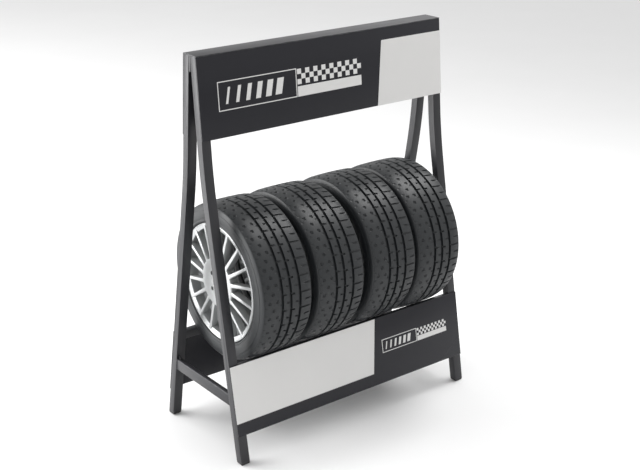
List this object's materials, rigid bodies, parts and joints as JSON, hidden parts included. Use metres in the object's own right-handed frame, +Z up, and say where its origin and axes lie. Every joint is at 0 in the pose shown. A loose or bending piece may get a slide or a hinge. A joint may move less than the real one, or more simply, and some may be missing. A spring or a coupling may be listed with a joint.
{
  "type": "tyre storage rack",
  "caption": "Free-standing A-frame rack with two cradle rails that hold a row of upright alloy wheels, with sign boards above and below on both sides.",
  "frame": {"origin": "on the floor, under the centre of the rack's footprint", "axes": "+X along the ridge to the right as seen from the front, -Y towards the front, +Z up"},
  "size_m": [1.2, 0.6474, 1.6],
  "materials": {
    "powder_coat": "black powder coat, satin",
    "dark_board": "dark satin-gloss composite board",
    "light_vinyl": "light grey self-adhesive vinyl, satin",
    "foot_plastic": "moulded black plastic",
    "black_screw": "black oxide steel",
    "tyre_rubber": "moulded tyre rubber",
    "silver_rim": "silver lacquer on cast alloy",
    "centre_cap": "grey plastic",
    "valve_rubber": "black rubber"
  },
  "bodies": {
    "rack": {"front_left_foot": "foot_plastic", "front_left_gusset": "powder_coat", "front_left_leg": "powder_coat", "front_rail": "powder_coat", "front_rail_left_plug": "foot_plastic", "front_rail_left_screw": "black_screw", "front_rail_right_plug": "foot_plastic", "front_rail_right_screw": "black_screw", "front_right_foot": "foot_plastic", "front_right_gusset": "powder_coat", "front_right_leg": "powder_coat", "left_crossbar": "powder_coat", "left_ridge_bolt": "black_screw", "lower_front_board": "dark_board", "lower_rear_board": "dark_board", "lower_vinyl_field": "light_vinyl", "rear_left_foot": "foot_plastic", "rear_left_gusset": "powder_coat", "rear_left_leg": "powder_coat", "rear_rail": "powder_coat", "rear_rail_left_plug": "foot_plastic", "rear_rail_left_screw": "black_screw", "rear_rail_right_plug": "foot_plastic", "rear_rail_right_screw": "black_screw", "rear_right_foot": "foot_plastic", "rear_right_gusset": "powder_coat", "rear_right_leg": "powder_coat", "ridge_bar": "powder_coat", "ridge_cap": "powder_coat", "right_crossbar": "powder_coat", "right_ridge_bolt": "black_screw", "upper_front_board": "dark_board", "upper_rear_board": "dark_board", "upper_vinyl_field": "light_vinyl"},
    "wheel_1_cap": {"wheel_1_centre_cap": "centre_cap"},
    "wheel_1": {"wheel_1_tyre": "tyre_rubber", "wheel_1_rim": "silver_rim", "wheel_1_spokes": "silver_rim", "wheel_1_valve": "valve_rubber"},
    "wheel_2_cap": {"wheel_2_centre_cap": "centre_cap"},
    "wheel_2": {"wheel_2_tyre": "tyre_rubber", "wheel_2_rim": "silver_rim", "wheel_2_spokes": "silver_rim", "wheel_2_valve": "valve_rubber"},
    "wheel_3_cap": {"wheel_3_centre_cap": "centre_cap"},
    "wheel_3": {"wheel_3_tyre": "tyre_rubber", "wheel_3_rim": "silver_rim", "wheel_3_spokes": "silver_rim", "wheel_3_valve": "valve_rubber"},
    "wheel_4_cap": {"wheel_4_centre_cap": "centre_cap"},
    "wheel_4": {"wheel_4_tyre": "tyre_rubber", "wheel_4_rim": "silver_rim", "wheel_4_spokes": "silver_rim", "wheel_4_valve": "valve_rubber"}
  },
  "joints": [
    {"name": "wheel_1_lift_out", "type": "slide", "parent": "rack", "child": "wheel_1_cap", "axis": [0, -0.788, 0.6157], "range_m": [0, 0.75]},
    {"name": "wheel_1_spin", "type": "hinge", "parent": "wheel_1_cap", "child": "wheel_1", "pos_m": [-0.3935, 0, 0.6707], "axis": [1, 0, 0], "continuous": true},
    {"name": "wheel_2_lift_out", "type": "slide", "parent": "rack", "child": "wheel_2_cap", "axis": [0, -0.788, 0.6157], "range_m": [0, 0.75]},
    {"name": "wheel_2_spin", "type": "hinge", "parent": "wheel_2_cap", "child": "wheel_2", "pos_m": [-0.1305, 0, 0.6707], "axis": [1, 0, 0], "continuous": true},
    {"name": "wheel_3_lift_out", "type": "slide", "parent": "rack", "child": "wheel_3_cap", "axis": [0, -0.788, 0.6157], "range_m": [0, 0.75]},
    {"name": "wheel_3_spin", "type": "hinge", "parent": "wheel_3_cap", "child": "wheel_3", "pos_m": [0.1445, 0, 0.6707], "axis": [1, 0, 0], "continuous": true},
    {"name": "wheel_4_lift_out", "type": "slide", "parent": "rack", "child": "wheel_4_cap", "axis": [0, -0.788, 0.6157], "range_m": [0, 0.75]},
    {"name": "wheel_4_spin", "type": "hinge", "parent": "wheel_4_cap", "child": "wheel_4", "pos_m": [0.3925, 0, 0.6707], "axis": [1, 0, 0], "continuous": true}
  ]
}
